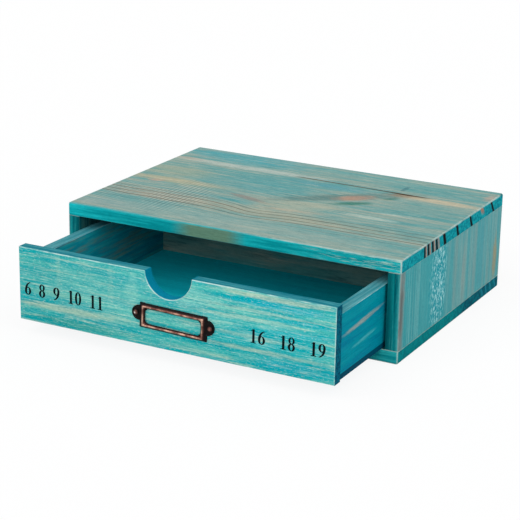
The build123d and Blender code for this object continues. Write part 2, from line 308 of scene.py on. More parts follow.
# %% The board finish
class Board(Finish):
    """Pine in a board's own directions, in millimetres. The grain names the axes, as in XYZ."""

    def __init__(self, name, grain, seed):
        super().__init__(name)
        self.along, self.across, self.through = (getattr(self, axis) for axis in grain.lower())
        self.grain = grain
        self.seed = seed * 10
        self.plane = self.node("ShaderNodeCombineXYZ", inputs={0: self.along, 1: self.across})
        self.rag = (self.streaks(9, 3.2, 4, 0.65) - 0.5) * 2.2

    def streaks(self, long, wide, detail=3.0, roughness=0.55):
        """Noise drawn out along the grain, in marks of about this length and width."""
        self.seed += 1
        start = self.seed * 17.31
        place = self.along / long + start, self.across / wide + start, self.through / wide
        return self.noise(place, detail, roughness)

    def side(self, axis, sign=1):
        """1 on the faces that look along an axis, or against it."""
        return (self.facing["XYZ".index(axis)] * sign).rise(0.75, 0.9)

    def ends(self):
        """1 on both end-grain faces."""
        return abs(self.facing["XYZ".index(self.grain[0])]).rise(0.75, 0.9)

    def arris(self):
        """1 on rounded and bevelled edges."""
        flattest = abs(self.facing[0]).highest(abs(self.facing[1])).highest(abs(self.facing[2]))
        return flattest.rise(0.99, 0.85)

    def patch(self, centre, size, turn=0.0):
        """A soft ragged oval, by its centre and size along and across the grain."""
        sockets = {
            "Vector": self.plane,
            "Location": (*centre, 0.0),
            "Rotation": (0.0, 0.0, math.radians(turn)),
            "Scale": (size[0] / 2, size[1] / 2, 1.0),
        }
        spot = self.node("ShaderNodeMapping", {"vector_type": "TEXTURE"}, sockets)
        reach = self.node("ShaderNodeVectorMath", {"operation": "LENGTH"}, {0: spot}, "Value")
        fibrous = self.fibres.rise(0.32, 0.54) * 0.45 + 0.55
        return (reach + self.rag * 0.5).rise(1.3, 0.35) * fibrous

    def brush(self, full, thin, rubbed, rubbing=0.5, long=60.0, wide=3.0):
        """Stain brushed on in streaks, then rubbed back along the grain."""
        broad = self.streaks(long * 2, wide * 3)
        self.marks = self.streaks(long, wide, 4, 0.6)
        self.fibres = self.streaks(16, 0.7, 4, 0.7)
        self.specks = self.streaks(2.4, 0.9, 3, 0.7)
        self.colour = self.mix(broad.rise(0.38, 0.64), full, thin)
        self.lay(self.marks.rise(0.50, 0.68) * rubbing, rubbed)
        self.lay(self.marks.rise(0.47, 0.34) * 0.5, full)
        self.lay(self.fibres.rise(0.54, 0.72) * rubbing * 0.7, rubbed)
        self.lay(self.fibres.rise(0.46, 0.32) * 0.5, full)

    def mottled(self, dark, light):
        """A colour that follows the streaks of stain."""
        return self.mix(self.marks.rise(0.39, 0.61), dark, light)

    def dress(self, roughness=0.62, relief=0.05, worn=0.6, rounded=1.0):
        """The end of every board: fine light and dark, worn arrises, relief along the fibres."""
        self.shade(1 + (self.fibres - 0.5) * 0.6 + (self.specks - 0.5) * 0.55)
        wear = self.streaks(14, 14, 3, 0.6).rise(0.30, 0.65)
        self.lay(self.arris() * wear * rounded * worn, PALE)
        return self.done(roughness + (self.marks - 0.5) * 0.2, self.fibres * relief, specular=0.01)


# %% Colours that several boards share
DEEP_TEAL = tone(4, 92, 102)
NAVY = tone(0, 66, 88)
BLUE = tone(4, 128, 156)
CREAM = tone(196, 206, 180)
BEIGE = tone(176, 172, 150)
PINK = tone(206, 158, 138)
PALE = tone(206, 226, 220)
TAN = tone(150, 142, 112)

# %% [markdown]
# ## The top board
#
# The top is what a buyer sees first, and this one has character: four dark latewood lines that
# sag as they pass a buried knot, a drying crack, and a warm flame where the grain dives under.
# The lines are sheets through the wood, so one list draws them twice, as hairlines on the face
# and as slanting slashes on the end grain. Places are in millimetres from the board's middle.

# %% Lines and patches of the top board
# Each latewood sheet: its place across the board, its width, and how dark it is on the face.
TOP_SHEETS = (
    (-49.6, 1.4, 0.9), (-43.2, 1.2, 0.85), (-36.4, 1.3, 0.9), (-30.4, 1.1, 0.7),
    (-18.5, 3.0, 0.0), (2.5, 1.8, 0.0), (26.0, 2.0, 0.0), (65.0, 2.0, 0.0),
)
FAINT_SHEET = (-58.5, 1.0, 0.45)
# Each patch: centre, size, turn in degrees, colour, strength.
TOP_PATCHES = (
    ((-75, 77), (120, 34), 0, tone(72, 162, 172), 0.75),
    ((40, 78), (150, 16), 0, tone(112, 166, 164), 0.5),
    ((-60, 54), (140, 11), 0, tone(186, 198, 190), 0.75),
    ((-112, 56), (24, 8), 0, PINK, 0.25),
    ((12, 40), (72, 11), 0, tone(72, 152, 168), 0.55),
    ((-70, 40), (110, 8), 0, tone(92, 160, 160), 0.45),
    ((-102, 20), (60, 34), 0, tone(158, 168, 146), 0.6),
    ((-86, -4), (92, 16), 0, tone(188, 176, 140), 0.65),
    ((-103, -10), (14, 8), 0, PINK, 0.45),
    ((-28, 16), (90, 48), 8, tone(84, 156, 160), 0.7),
    ((-28, -25), (52, 14), 0, tone(84, 152, 156), 0.65),
    ((-22, -17), (46, 8), -16, tone(150, 130, 120), 0.7),
    ((14, -16), (74, 28), 24, tone(172, 176, 156), 0.65),
    ((15, -29), (60, 8), 6, tone(196, 174, 148), 0.55),
    ((0, -43), (260, 22), 0, tone(170, 168, 146), 0.6),
    ((-80, -43), (100, 22), 0, tone(190, 168, 148), 0.4),
    ((-105, -76), (60, 20), 0, tone(136, 158, 162), 0.5),
    ((-10, -73), (270, 30), 0, tone(140, 168, 162), 0.75),
    ((31, 19), (104, 17), 37, tone(84, 120, 118), 0.8),
    ((40, 22), (31, 13), 38, tone(180, 144, 124), 0.9),
    ((44, 9), (30, 9), 33, tone(40, 118, 104), 0.9),
    ((62, 33), (14, 7), 45, tone(60, 116, 102), 0.75),
    ((67, 45), (30, 8), 4, tone(132, 106, 84), 0.75),
    ((61, 62), (4, 16), 0, tone(56, 104, 116), 0.6),
    ((96, 44), (64, 11), -3, tone(208, 188, 156), 0.7),
    ((122, 71), (9, 18), 0, PINK, 0.4),
    ((96, 16), (74, 38), 0, tone(80, 152, 154), 0.55),
    ((70, -16), (42, 7), 0, tone(196, 206, 192), 0.6),
    ((84, -2), (40, 4), 0, tone(180, 204, 196), 0.4),
)
CRACK_PLACE, CRACK_WIDTH = 51.3, 2.4
# The crack opens widest round this X.
CRACK_OPEN = 66
SAW_PITCH = 3.4
# The sheets sag in front of the buried knot, and stay a little lower to its right.
KNOT_PLACE, SAG_LENGTH, SAG_DEPTH, STEP_DOWN = -5, 26, 5, 4.3
# How steeply the sheets dive: at the first of them, and more for each millimetre behind it.
FIRST_SHEET, FIRST_DIVE, MORE_DIVE = -50, 0.12, 0.005

# %% Finish the top board
def sheet_slant(wood):
    """How far each latewood sheet has moved across, at this depth under the top face."""
    depth = wood.z * -1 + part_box("top_board")[1].z / MM
    return depth * ((wood.across - FIRST_SHEET) * MORE_DIVE + FIRST_DIVE)


def top_board_finish():
    wood = Board("stained_top_board", "XYZ", 1)
    clouds = wood.streaks(75, 26, 2)
    sag = wood.x.near(KNOT_PLACE, SAG_LENGTH) * SAG_DEPTH + wood.x.rise(-55, 5) * STEP_DOWN
    wood.across = wood.y + sag * wood.y.near(-42, 42) + (clouds - 0.5) * 3
    full, thin, rubbed = tone(98, 157, 157), tone(150, 167, 156), tone(180, 177, 160)
    wood.brush(full, thin, rubbed, 0.4, 50, 2.2)
    for centre, size, turn, colour, strength in TOP_PATCHES:
        wood.lay(wood.patch(centre, size, turn) * strength, colour)
    wood.lay(wood.marks.rise(0.54, 0.70) * 0.35, tone(186, 190, 172))
    wood.lay(wood.fibres.rise(0.53, 0.66) * 0.4, tone(190, 190, 172))
    wood.lay(wood.fibres.rise(0.47, 0.34) * 0.45, tone(70, 132, 136))

    saw = (wood.x * (2 * math.pi / SAW_PITCH)).sine()
    marks = wood.patch((-68, -38), (46, 84)).highest(wood.patch((-113, -46), (30, 60)) * 0.5)
    wood.lay(saw.rise(0.1, 0.9) * marks * wood.fibres.rise(0.3, 0.55) * 0.5, tone(84, 112, 116))
    wood.lay(saw.rise(-0.2, -0.9) * marks * 0.3, tone(196, 206, 194))

    layer = wood.across - sheet_slant(wood)
    on_face = wood.side("Z")
    faint = wood.marks.rise(0.22, 0.50) * 0.6 + 0.4
    for place, width, strength in (*TOP_SHEETS, FAINT_SHEET):
        wood.lay(layer.line(place, width) * on_face * strength * faint, tone(92, 82, 74))
    crack_at = wood.y + wood.x * 0.03
    crack = crack_at.line(CRACK_PLACE, CRACK_WIDTH)
    length = wood.x.rise(-26, -12) * wood.x.rise(90, 78)
    wood.lay(crack * length * on_face * 0.9, tone(88, 70, 50))
    wide_crack = crack_at.line(CRACK_PLACE - 0.5, CRACK_WIDTH * 1.7)
    wood.lay(wide_crack * wood.x.near(CRACK_OPEN, 14) * on_face, tone(56, 44, 30))

    edge = wood.side("Y", -1).highest(wood.side("Y"))
    edge_colour = wood.mottled(tone(4, 146, 154), tone(24, 176, 182))
    wood.lay(edge, edge_colour)
    wood.lay(edge * abs(wood.x + 14).rise(30, 12) * 0.9, tone(104, 134, 108))
    wood.lay(edge * wood.x.rise(40, 100) * wood.fibres.rise(0.52, 0.64) * 0.6, CREAM)

    ends = wood.ends()
    wood.lay(ends, wood.mottled(tone(0, 116, 132), tone(20, 158, 166)))
    for place, width, strength in TOP_SHEETS:
        wood.lay(layer.line(place + 2.8, 3.2) * ends * strength, tone(160, 134, 122))
        wood.lay(layer.line(place, width + 2.8) * ends, tone(14, 18, 20))
    wood.lay(layer.line(47, 7) * ends * wood.z.rise(63, 68) * 0.8, tone(170, 112, 84))
    wood.lay(wood.side("Z", -1), DEEP_TEAL)
    rear = wood.arris() * wood.y.rise(84, 87)
    wood.lay(rear * 0.8, tone(44, 112, 116))
    front_left = wood.arris() * wood.y.rise(-84, -87) * wood.x.rise(40, 0)
    wood.lay(front_left * 0.8, tone(30, 160, 166))
    bare = wood.x.rise(0, 80) * 0.95 + 0.05
    return wood.dress(worn=0.4, rounded=bare * (1 - rear))


# %% [markdown]
# ## The case's sides and bottom
#
# The two sides stand between the top and bottom boards with their grain upright. One side has a
# brown strip near its front, then a band where the plane tore the fibres and the stain broke up
# into pale flecks. The bottom board soaked its ends in the stain, so they are darker.

# %% Finish the case's sides
SIDE_PATCHES = (
    ((40, -88), (110, 11), 0, tone(124, 124, 120), 0.85),
    ((36, -88), (40, 5), 0, tone(76, 74, 74), 0.5),
    ((40, 3), (90, 10), 0, tone(122, 152, 148), 0.5),
    ((30, 18), (60, 7), 0, tone(146, 148, 138), 0.5),
    ((40, 38), (90, 9), 0, tone(120, 150, 148), 0.5),
    ((40, 52), (90, 12), 0, tone(84, 150, 158), 0.5),
    ((25, 79), (34, 9), 0, TAN, 0.9),
    ((20, 66), (40, 6), 0, tone(116, 150, 146), 0.4),
)
# Where the plane tore the fibres: centre and size of the band on each side.
TORN_RIGHT = ((38, -27), (84, 30))
TORN_LEFT = ((46, 34), (50, 12))


def case_side_finish(name, seed, outward, torn_band):
    wood = Board(name, "ZYX", seed)
    wood.brush(tone(76, 154, 160), tone(106, 157, 158), tone(148, 172, 166), 0.35, 90, 2.4)
    front_part = wood.y.rise(-8, -18)
    wood.lay(front_part * 0.75, tone(58, 152, 158))
    stripes = wood.streaks(160, 0.6, 2)
    planed = wood.patch((35, -70), (90, 36))
    wood.lay(planed * stripes.rise(0.5, 0.62) * 0.6, tone(140, 186, 184))
    wood.lay(planed * stripes.rise(0.47, 0.38) * 0.4, tone(34, 120, 130))
    for centre, size, turn, colour, strength in SIDE_PATCHES:
        wood.lay(wood.patch(centre, size, turn) * strength, colour)
    torn = wood.patch(*torn_band)
    wood.lay(torn * 0.85, tone(26, 150, 162))
    flecks = wood.streaks(4.0, 1.6, 4, 0.8)
    wood.lay(torn.rise(0.1, 0.9) * flecks.rise(0.49, 0.62) * 0.85, tone(200, 238, 236))
    wood.lay(torn * flecks.rise(0.47, 0.38) * 0.7, tone(0, 112, 128))

    front = wood.side("Y", -1)
    wood.lay(front, wood.mottled(tone(0, 84, 92), tone(12, 126, 130)))
    wood.lay(front * wood.fibres.rise(0.56, 0.70) * 0.5, tone(96, 180, 176))
    wood.lay(front * (wood.x * outward).rise(121, 117.5) * 0.75, tone(0, 74, 80))
    wood.lay(front * (wood.x * outward).rise(122, 124.5) * 0.35, tone(90, 186, 184))
    wood.lay(wood.side("Y"), tone(16, 120, 128))
    inner = wood.side("X", -outward)
    wood.lay(inner, wood.mottled(tone(6, 96, 104), tone(60, 120, 118)))
    return wood.dress(worn=0.12)


# %% Finish the bottom board
def bottom_board_finish():
    wood = Board("stained_bottom_board", "XYZ", 4)
    wood.brush(tone(84, 150, 152), tone(138, 168, 158), BEIGE, 0.5)
    wood.lay(wood.fibres.rise(0.44, 0.28) * 0.3, tone(70, 110, 110))
    edge = wood.side("Y", -1).highest(wood.side("Y"))
    wood.lay(edge, wood.mottled(tone(10, 128, 134), tone(40, 160, 162)))
    ends = wood.ends()
    wood.lay(ends, wood.mottled(tone(0, 112, 118), tone(2, 130, 134)))
    rear = wood.y.rise(0, 30)
    wood.lay(ends * rear, wood.mottled(tone(0, 74, 90), tone(4, 104, 116)))
    slashes = (wood.y / 1.3 + wood.z * 0.3 + wood.rag).sine()
    wood.lay(ends * wood.y.rise(48, 62) * slashes.rise(0.1, 0.9) * 0.5, tone(40, 140, 160))
    wood.lay(wood.side("Z"), wood.mottled(DEEP_TEAL, tone(40, 110, 112)))
    return wood.dress(worn=0.2)


# %% [markdown]
# ## The drawer
#
# The drawer's front carries the most stain and the most rubbing, so cream streaks run its whole
# length, with a few upright laps where the brush was lifted. Its ends, the notch and the sides
# were stained blue and left. Inside, the back is greyish brown, and the thin floor is an even
# teal that looks dark in the shade of the case. Its colours are painted far brighter than that,
# as painted light that makes up for the little light that reaches inside.

# %% Finish the drawer's front
FRONT_PATCHES = (
    ((-84, 46), (4, 30), 0, tone(170, 206, 184), 0.3),
    ((-44, 44), (5, 32), 0, tone(160, 200, 180), 0.2),
    ((-28, 43), (9, 36), 0, tone(140, 204, 190), 0.4),
    ((-98, 42), (34, 34), 0, tone(14, 156, 158), 0.55),
    ((-66, 52), (34, 7), 0, tone(20, 162, 166), 0.5),
    ((-78, 22), (90, 6), 0, tone(180, 190, 164), 0.6),
    ((-92, 31), (60, 4), 0, tone(110, 176, 158), 0.5),
    ((-60, 36), (60, 5), 0, tone(40, 162, 160), 0.4),
    ((-70, 13), (84, 7), 0, tone(20, 138, 136), 0.6),
    ((-10, 18), (60, 5), 0, tone(20, 166, 170), 0.5),
    ((72, 57), (90, 3.4), 0, tone(190, 196, 168), 0.6),
    ((75, 52), (86, 6), 0, tone(0, 160, 178), 0.75),
    ((60, 47), (80, 2.6), 0, tone(186, 200, 176), 0.5),
    ((90, 44), (50, 3), 0, tone(0, 164, 180), 0.6),
    ((50, 41), (90, 3), 0, tone(178, 200, 180), 0.5),
    ((92, 37), (56, 5), 0, tone(0, 166, 178), 0.65),
    ((30, 37), (50, 6), 0, tone(110, 190, 182), 0.5),
    ((60, 30), (110, 3), 0, tone(176, 196, 172), 0.45),
    ((50, 26), (100, 4), 0, tone(0, 162, 172), 0.6),
    ((66, 21.5), (100, 3.4), 0, tone(184, 194, 164), 0.55),
    ((86, 15), (70, 7), 0, tone(0, 156, 174), 0.75),
    ((20, 13), (60, 4), 0, tone(150, 190, 172), 0.4),
    ((14, 48), (44, 12), 0, tone(150, 204, 190), 0.45),
    ((-56, 38), (120, 44), 0, tone(128, 182, 170), 0.25),
    ((80, 30), (74, 56), 0, tone(0, 164, 178), 0.22),
)


# The finger notch: its middle in X, and a height just under it.
NOTCH_MIDDLE, NOTCH_FOOT = -1.5, 41


def drawer_front_finish():
    wood = Board("stained_drawer_front", "XZY", 5)
    clouds = wood.streaks(60, 14, 2)
    wood.across = wood.z + (clouds - 0.5) * 3
    wood.brush(tone(4, 160, 166), tone(78, 180, 172), tone(166, 198, 176), 0.5, 30, 1.7)
    for centre, size, turn, colour, strength in FRONT_PATCHES:
        wood.lay(wood.patch(centre, size, turn) * strength, colour)
    wood.lay(wood.marks.rise(0.55, 0.72) * 0.35, tone(176, 200, 176))
    wood.lay(wood.fibres.rise(0.54, 0.68) * 0.35, tone(184, 206, 190))
    wood.lay(wood.fibres.rise(0.47, 0.34) * 0.5, tone(0, 152, 162))
    wood.lay(wood.specks.rise(0.55, 0.70) * 0.4, tone(206, 196, 176))
    wood.lay(wood.specks.rise(0.45, 0.32) * 0.3, tone(0, 120, 126))
    wood.shade(1 - wood.x.rise(-10, -90) * 0.06 - wood.z.rise(34, 14) * 0.08)

    ends = wood.ends()
    wood.lay(ends, wood.mottled(NAVY, tone(0, 100, 122)))
    wood.lay(wood.side("Z"), wood.mottled(tone(24, 118, 134), tone(62, 144, 154)))
    wood.lay(wood.side("Y"), tone(0, 96, 106))
    wood.lay(wood.side("Z", -1), tone(0, 110, 120))
    from_middle = abs(wood.x - NOTCH_MIDDLE)
    walls = abs(wood.facing[1]).rise(0.5, 0.3)
    notch = walls * wood.z.rise(NOTCH_FOOT, NOTCH_FOOT + 1) * from_middle.rise(18, 17.2)
    wood.lay(notch, BLUE)
    return wood.dress(worn=0.7, rounded=1 - notch)


# %% Finish the drawer's sides, back and floor
def drawer_side_finish(name, seed, outward):
    wood = Board(name, "YZX", seed)
    wood.brush(tone(0, 118, 146), tone(0, 136, 152), tone(40, 158, 168), 0.2, 70, 3.2)
    wood.lay(wood.patch((-122, 38.5), (60, 3.4), 3) * 0.85, tone(146, 158, 152))
    wood.lay(wood.patch((-118, 26), (36, 2.6), 3) * 0.5, tone(92, 184, 188))
    wood.lay(wood.patch((-40, 30), (90, 4), -2) * 0.5, tone(128, 160, 152))
    top = wood.side("Z")
    wood.lay(top, wood.mottled(tone(48, 130, 142), tone(92, 160, 168)))
    inner = wood.side("X", -outward)
    wood.lay(inner, wood.mottled(tone(0, 130, 150), tone(22, 158, 168)))
    blots = wood.streaks(50, 4, 4, 0.65)
    wood.lay(inner * blots.rise(0.46, 0.66) * 0.7, tone(108, 124, 108))
    wood.lay(inner * blots.rise(0.46, 0.32) * 0.5, tone(0, 104, 134))
    wood.lay(wood.ends(), tone(0, 84, 100))
    return wood.dress()


def drawer_back_finish():
    wood = Board("stained_drawer_back", "XZY", 8)
    wood.brush(tone(64, 128, 128), tone(104, 134, 128), tone(142, 144, 132), 0.5, 40, 4)
    wood.lay(wood.streaks(40, 5, 4, 0.65).rise(0.50, 0.32) * 0.7, tone(30, 88, 92))
    wood.lay(wood.side("Y"), tone(10, 104, 114))
    wood.lay(wood.side("Z"), tone(60, 130, 136))
    return wood.dress()


def plywood_finish(name, seed, full, thin, veneer):
    """Thin plywood: an even stain on its faces, and plain navy along its edges."""
    wood = Board(name, "XYZ" if veneer == "Z" else "XZY", seed)
    wood.brush(full, thin, thin, 0.35, 120, 5)
    edges = 1 - abs(wood.facing["XYZ".index(veneer)]).rise(0.75, 0.9)
    wood.lay(edges, NAVY)
    return wood.dress(0.55, 0.02)


# %% Give every board its finish
def paint(piece, material):
    """Gives a piece one material, in place of what it has."""
    piece.data.materials.clear()
    piece.data.materials.append(material)


PANEL_TONES = tone(52, 132, 138), tone(84, 156, 158)
# The drawer floor's tones are painted light: far brighter than its stain, to make up for the little
# light that reaches inside the case.
FLOOR_TONES_WITH_PAINTED_LIGHT = tone(8, 172, 190), tone(18, 186, 202)
FINISHES = {
    "top_board": top_board_finish(),
    "bottom_board": bottom_board_finish(),
    "left_side": case_side_finish("stained_left_side", 2, -1, TORN_LEFT),
    "right_side": case_side_finish("stained_right_side", 3, 1, TORN_RIGHT),
    "back_panel": plywood_finish("stained_back_panel", 9, *PANEL_TONES, "Y"),
    "drawer_front": drawer_front_finish(),
    "drawer_left_side": drawer_side_finish("stained_drawer_left_side", 6, -1),
    "drawer_right_side": drawer_side_finish("stained_drawer_right_side", 7, 1),
    "drawer_back": drawer_back_finish(),
    "drawer_floor": plywood_finish("stained_drawer_floor", 10, *FLOOR_TONES_WITH_PAINTED_LIGHT, "Z"),
}
for name, material in FINISHES.items():
    paint(nodes[name], material)
print("boards finished:", len(FINISHES))

# %% [markdown]
# ## Tools for modelling by hand
#
# The fittings are small enough to model as a person would: start from a primitive, go into edit
# mode, pick faces or points by their place, and push them about. A few helpers keep that short.
# `start` clears the selection and adds the first primitive. `pick` selects what passes a test.
# `place` turns the finished mesh into its position, so that the object itself stays at the
# origin, as the boards do.

# %% Helpers for edit mode
def leave_edit_mode():
    if bpy.context.mode != "OBJECT":
        bpy.ops.object.mode_set(mode="OBJECT")


def start(primitive, name, **settings):
    """Adds a primitive with nothing else selected, and goes into edit mode."""
    leave_edit_mode()
    bpy.ops.object.select_all(action="DESELECT")
    primitive(**settings)
    piece = bpy.context.object
    piece.name = name
    bpy.ops.object.mode_set(mode="EDIT")
    return piece


def pick(kind, test):
    """Selects the vertices, edges or faces that pass a test, and nothing else."""
    bpy.ops.mesh.select_mode(type=kind)
    bpy.ops.mesh.select_all(action="DESELECT")
    mesh = bmesh.from_edit_mesh(bpy.context.object.data)
    parts = {"VERT": mesh.verts, "EDGE": mesh.edges, "FACE": mesh.faces}[kind]
    for part in parts:
        part.select_set(test(part))
    mesh.select_flush_mode()
    bmesh.update_edit_mesh(bpy.context.object.data)


def modify(piece, kind, **settings):
    """Adds a modifier, sets it and applies it."""
    modifier = piece.modifiers.new(kind.title(), kind)
    for name, value in settings.items():
        setattr(modifier, name, value)
    bpy.context.view_layer.objects.active = piece
    bpy.ops.object.modifier_apply(modifier=modifier.name)


def place(piece, matrix):
    """Moves a finished mesh to its place, and leaves its object at the origin."""
    bpy.ops.object.select_all(action="DESELECT")
    piece.select_set(True)
    bpy.context.view_layer.objects.active = piece
    piece.matrix_world = matrix @ piece.matrix_world
    bpy.ops.object.transform_apply(location=True, rotation=True, scale=True)


def copy_of(piece, name):
    """A copy with its own mesh."""
    twin = piece.copy()
    twin.data = piece.data.copy()
    twin.name = name
    bpy.context.collection.objects.link(twin)
    return twin


# %% [markdown]
# ## The label holder
#
# The holder is pressed from one sheet of steel and plated with copper. Its skirt rises from the
# wood to a ridge, folds over and dips again to the lip of the window, and two round ears with
# raised rims carry the pins. Seen from the front it is a nest of rounded rectangles at different
# heights. So eight such loops are laid out first, and each is then bridged to the next, from the
# foot over the ridge to the lip and back under the sheet. The last bridge closes the shell. All
# loops have the same number of points, so each is the next batch of vertices. Measures are in
# millimetres, with the wood's face at height 0, and are turned to metres when it is placed.

# %% Bridge the loops of the frame
LOOP_POINTS_PER_CORNER = 9
# Each loop: width, height, corner radius, and height above the wood.
FRAME_LOOPS = (
    (49.5, 17.0, 0.8, 0.0),
    (43.7, 13.2, 0.8, 2.2),
    (42.5, 12.0, 0.8, 2.2),
    (40.4, 9.9, 3.0, 0.95),
    (41.6, 11.1, 3.0, 0.35),
    (42.9, 12.4, 0.8, 1.6),
    (43.7, 13.2, 0.8, 1.6),
    (48.3, 15.8, 0.8, 0.0),
)
# The card's slot: half its length, the slope at its ends, its height, and a line just inside it.
SLOT_HALF, SLOT_STEP, SLOT_HEIGHT, SLOT_LINE = 20.5, 0.15, 0.5, 7.5


def add_loop(width, height, corner, rise):
    """A rounded rectangle of edges, from a plane with its corners bevelled and its face gone."""
    bpy.ops.mesh.select_all(action="DESELECT")
    bpy.ops.mesh.primitive_plane_add(size=1, location=(0, 0, rise))
    bpy.ops.transform.resize(value=(width, height, 1))
    bpy.ops.mesh.bevel(offset=corner, affect="VERTICES", segments=LOOP_POINTS_PER_CORNER - 1)
    bpy.ops.mesh.delete(type="ONLY_FACE")


frame_plate = start(bpy.ops.mesh.primitive_plane_add, "label_holder_frame", size=1)
bpy.ops.mesh.delete(type="VERT")
for loop in FRAME_LOOPS:
    add_loop(*loop)
LOOP_POINTS = 4 * LOOP_POINTS_PER_CORNER
points = len(bmesh.from_edit_mesh(frame_plate.data).verts)
print(f"{points} points in {len(FRAME_LOOPS)} loops of {LOOP_POINTS}")
for first in range(len(FRAME_LOOPS)):
    pair = first, (first + 1) % len(FRAME_LOOPS)
    pick("VERT", lambda vertex: vertex.index // LOOP_POINTS in pair)
    bpy.ops.mesh.bridge_edge_loops()

# %% Open the slot where the card slides in
for across in (-SLOT_HALF - SLOT_STEP, -SLOT_HALF, SLOT_HALF, SLOT_HALF + SLOT_STEP):
    bpy.ops.mesh.select_all(action="SELECT")
    bpy.ops.mesh.bisect(plane_co=(across, 0, 0), plane_no=(1, 0, 0))
half_slot = SLOT_HALF + SLOT_STEP / 2
pick("VERT", lambda v: v.co.y > SLOT_LINE and v.co.z < 0.01 and abs(v.co.x) < half_slot)
bpy.ops.transform.translate(value=(0, 0, SLOT_HEIGHT))
bpy.ops.mesh.select_all(action="SELECT")
bpy.ops.mesh.normals_make_consistent(inside=False)
bpy.ops.object.mode_set(mode="OBJECT")
sharper_than = {"limit_method": "ANGLE", "angle_limit": math.radians(30)}
modify(frame_plate, "BEVEL", width=0.16, segments=2, **sharper_than)
print("frame:", len(frame_plate.data.polygons), "faces")

# %% Press the ears
EAR_RADIUS, EAR_RIM, EAR_RISE, EAR_SHEET = 4.9, 0.7, 1.1, 0.6
EAR_ACROSS, EAR_RAISE, EAR_CUT = 24.95, 1.3, 24.1
# Points of the joined mesh that lie closer than this are welded.
SLIVER = 0.01


def press_ear(sign):
    """A disc with a raised rim, cut off where the skirt begins."""
    centre = (sign * EAR_ACROSS, EAR_RAISE, EAR_RISE / 2)
    disc = {"vertices": 72, "radius": EAR_RADIUS, "depth": EAR_RISE, "location": centre}
    ear = start(bpy.ops.mesh.primitive_cylinder_add, "label_holder_ear", **disc)
    pick("FACE", lambda face: face.normal.z > 0.9)
    bpy.ops.mesh.inset(thickness=EAR_RIM)
    bpy.ops.transform.translate(value=(0, 0, EAR_SHEET - EAR_RISE))
    bpy.ops.mesh.select_all(action="SELECT")
    side = {"plane_co": (sign * EAR_CUT, 0, 0), "plane_no": (sign, 0, 0)}
    bpy.ops.mesh.bisect(**side, use_fill=True, clear_inner=True)
    bpy.ops.mesh.select_all(action="SELECT")
    bpy.ops.mesh.normals_make_consistent(inside=False)
    bpy.ops.object.mode_set(mode="OBJECT")
    sharper_than = {"limit_method": "ANGLE", "angle_limit": math.radians(40)}
    modify(ear, "BEVEL", width=0.18, segments=3, **sharper_than)
    return ear


for sign in (-1, 1):
    ear = press_ear(sign)
    modify(frame_plate, "BOOLEAN", object=ear, operation="UNION", solver="EXACT")
    bpy.data.objects.remove(ear)
modify(frame_plate, "WELD", merge_threshold=SLIVER)
print("frame with ears:", len(frame_plate.data.polygons), "faces")

# %% [markdown]
# ## The pins
#
# Each ear is held by a domed pin. The dome is a disc whose top face is inset and lifted in steps
# that follow a quarter of an ellipse, so it closes into a crown. The shank is the bottom face,
# inset and pushed down into the wood. The second pin is a copy of the first.

# %% Turn a domed pin
DOME_STEPS = 6
PIN_SIDES = 40


def turn_pin(name, head_radius, head_rise, shank_radius, shank_length, seat):
    """A pin along Z, with its head on the seat and its shank below it."""
    rim = head_rise * 0.25
    where = (0, 0, seat + rim / 2)
    disc = {"vertices": PIN_SIDES, "radius": head_radius, "depth": rim, "location": where}
    pin = start(bpy.ops.mesh.primitive_cylinder_add, name, **disc)
    pick("FACE", lambda face: face.normal.z > 0.9)
    for step in range(DOME_STEPS):
        low, high = (math.radians(90 * s / DOME_STEPS) for s in (step, step + 1))
        inward = (math.cos(low) - math.cos(high)) * head_radius
        upward = (math.sin(high) - math.sin(low)) * (head_rise - rim)
        if step == DOME_STEPS - 1:
            bpy.ops.mesh.extrude_region_move(TRANSFORM_OT_translate={"value": (0, 0, upward)})
            bpy.ops.mesh.merge(type="CENTER")
        else:
            bpy.ops.mesh.inset(thickness=inward)
            bpy.ops.transform.translate(value=(0, 0, upward))
    pick("FACE", lambda face: face.normal.z < -0.9)
    bpy.ops.mesh.inset(thickness=head_radius - shank_radius)
    bpy.ops.mesh.extrude_region_move(TRANSFORM_OT_translate={"value": (0, 0, -shank_length)})
    bpy.ops.mesh.inset(thickness=shank_radius * 0.6)
    bpy.ops.transform.translate(value=(0, 0, -shank_radius))
    bpy.ops.object.mode_set(mode="OBJECT")
    return pin


def smooth(piece, degrees=35):
    """Smooth shading that keeps the edges sharper than an angle."""
    bpy.ops.object.select_all(action="DESELECT")
    piece.select_set(True)
    bpy.context.view_layer.objects.active = piece
    bpy.ops.object.shade_smooth_by_angle(angle=math.radians(degrees))


# %% Place the holder and its pins
LABEL_MIDDLE = Vector((2.5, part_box("drawer_front")[0].y / MM, 29.2)) * MM
LABEL_TILT = -1.5
PIN_ACROSS = 26.85
upright = turned(-LABEL_TILT, "Y") @ turned(90, "X") @ Matrix.Scale(MM, 4)
label_place = Matrix.Translation(LABEL_MIDDLE) @ upright
left_pin = turn_pin("label_pin_left", 1.9, 1.3, 0.7, 6.0, seat=EAR_SHEET)
right_pin = copy_of(left_pin, "label_pin_right")
for piece, across in ((frame_plate, None), (left_pin, -PIN_ACROSS), (right_pin, PIN_ACROSS)):
    shift = (0, 0, 0) if across is None else (across, EAR_RAISE, 0)
    place(piece, label_place @ Matrix.Translation(shift))
    smooth(piece)
    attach(piece, "drawer")
    print(piece.name, [round(side / MM, 2) for side in piece.dimensions])
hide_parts("label_holder")
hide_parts("label_pins")

# %% [markdown]
# ## Antique copper
#
# The copper is plated thin and then darkened, and the makers rub it so that only the high places
# shine. So its colour follows the height above the wood: nearly black at the foot and in the
# ears, reddish on the slopes, and bright on the ridge. Noise breaks all of it up, because the
# dark layer wears in spots.

# %% The copper finish
# Where a highlight is painted on the left pin's crown, as a small near-white spot: X and Z.
PAINTED_PIN_HIGHLIGHT = (-24.9, 30.9)


